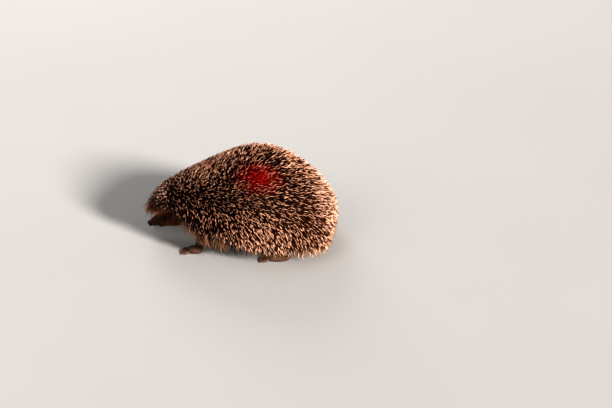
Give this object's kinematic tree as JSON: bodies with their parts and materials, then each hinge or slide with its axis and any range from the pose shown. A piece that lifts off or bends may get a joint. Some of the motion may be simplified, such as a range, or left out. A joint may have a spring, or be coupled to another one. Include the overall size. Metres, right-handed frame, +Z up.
{
  "type": "hedgehog",
  "caption": "Life-size still model of an adult European hedgehog, hunched with its nose to the ground and a red paint mark on its back.",
  "frame": {"origin": "on the ground under the middle of the whole animal", "axes": "+Z up, nose towards -X, the animal's left side towards -Y"},
  "size_m": [0.254, 0.164, 0.1326],
  "materials": {
    "spines": "stiff cream spines with a dark band below a pale tip",
    "face_fur": "short coarse brown fur",
    "leg_fur": "coarse grey-brown fur",
    "skin": "bare wrinkled skin with thin hair",
    "nose": "moist black",
    "eyes": "glossy black"
  },
  "bodies": {
    "root": {"trunk": "spines", "neck": "spines", "head": "face_fur", "snout": "face_fur", "nose": "nose", "eye_left": "eyes", "eye_right": "eyes", "ear_left": "skin", "ear_right": "skin", "foreleg_left": "leg_fur", "foreleg_right": "leg_fur", "hindleg_left": "leg_fur", "hindleg_right": "leg_fur", "forefoot_left": "skin", "forefoot_right": "skin", "hindfoot_left": "skin", "hindfoot_right": "skin", "tail": "skin"}
  },
  "joints": []
}
